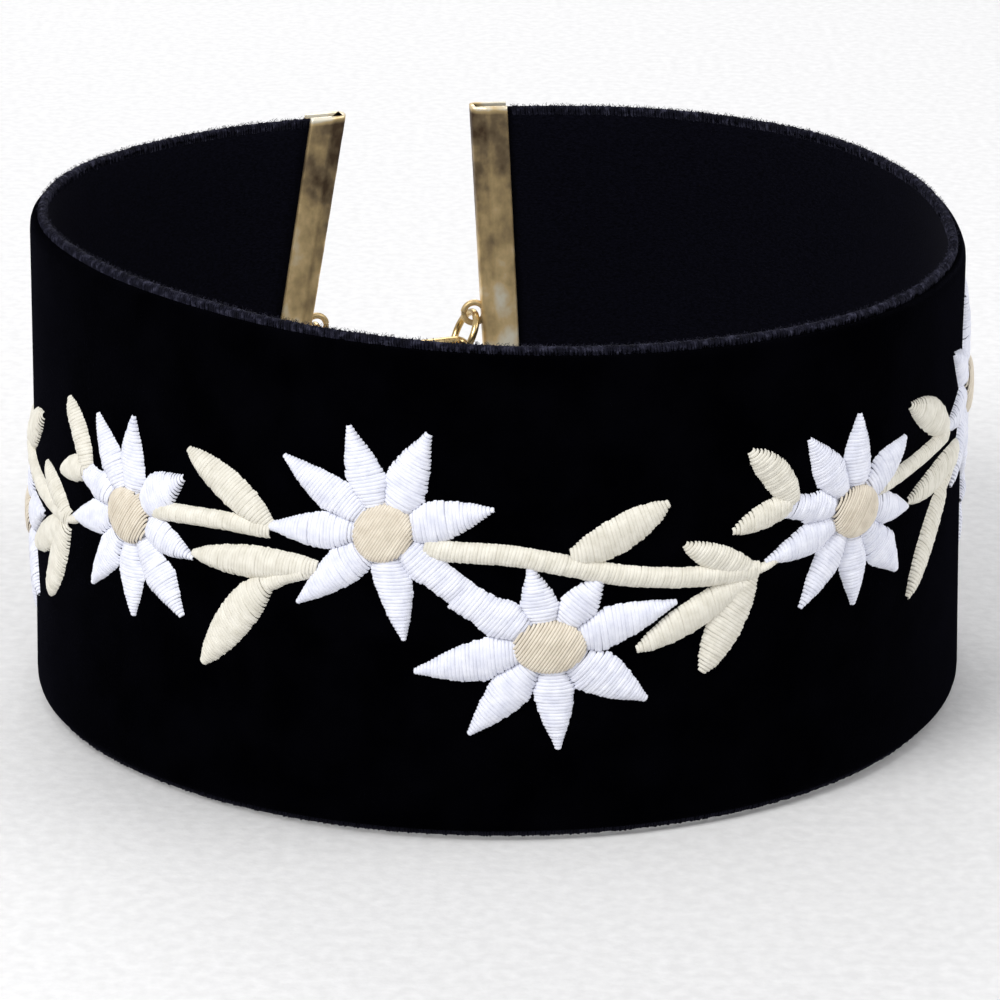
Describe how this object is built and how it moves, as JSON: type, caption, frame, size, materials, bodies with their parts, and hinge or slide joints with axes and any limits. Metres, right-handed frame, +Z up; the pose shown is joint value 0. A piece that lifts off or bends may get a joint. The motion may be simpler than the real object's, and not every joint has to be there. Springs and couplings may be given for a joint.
{
  "type": "choker necklace",
  "caption": "Wide black velvet ribbon choker with a raised row of embroidered white daisies and cream leaves, brass ribbon crimps and a small clasp.",
  "frame": {"origin": "middle of the choker's footprint, on the surface it stands on", "axes": "+Z up across the ribbon's width, -Y towards the front of the loop, the clasp at the back near +Y"},
  "size_m": [0.0988, 0.096, 0.05],
  "materials": {
    "velvet": "deep black velvet pile on a woven ground",
    "white_thread": "satin stitch, slightly bluish white",
    "cream_thread": "satin stitch, warm cream",
    "antique_brass": "aged, mottled brown",
    "gold_plate": "pale gold plate"
  },
  "bodies": {
    "root": {"velvet_band": "velvet", "high_daisy_1": "white_thread", "low_daisy_1": "white_thread", "single_daisy_1": "white_thread", "high_daisy_2": "white_thread", "low_daisy_2": "white_thread", "single_daisy_2": "white_thread", "high_daisy_3": "white_thread", "low_daisy_3": "white_thread", "single_daisy_3": "white_thread", "high_daisy_1_centre": "cream_thread", "low_daisy_1_centre": "cream_thread", "single_daisy_1_centre": "cream_thread", "high_daisy_2_centre": "cream_thread", "low_daisy_2_centre": "cream_thread", "single_daisy_2_centre": "cream_thread", "high_daisy_3_centre": "cream_thread", "low_daisy_3_centre": "cream_thread", "single_daisy_3_centre": "cream_thread", "short_vine_1": "cream_thread", "trailing_leaves_1": "cream_thread", "long_vine_1": "cream_thread", "leaf_pair_1": "cream_thread", "short_vine_2": "cream_thread", "trailing_leaves_2": "cream_thread", "long_vine_2": "cream_thread", "leaf_pair_2": "cream_thread", "short_vine_3": "cream_thread", "trailing_leaves_3": "cream_thread", "long_vine_3": "cream_thread", "leaf_pair_3": "cream_thread", "short_vine_4": "cream_thread", "trailing_leaves_4": "cream_thread", "left_ribbon_crimp": "antique_brass", "right_ribbon_crimp": "antique_brass", "left_jump_ring": "gold_plate", "right_jump_ring": "gold_plate", "lobster_clasp": "gold_plate"}
  },
  "joints": []
}
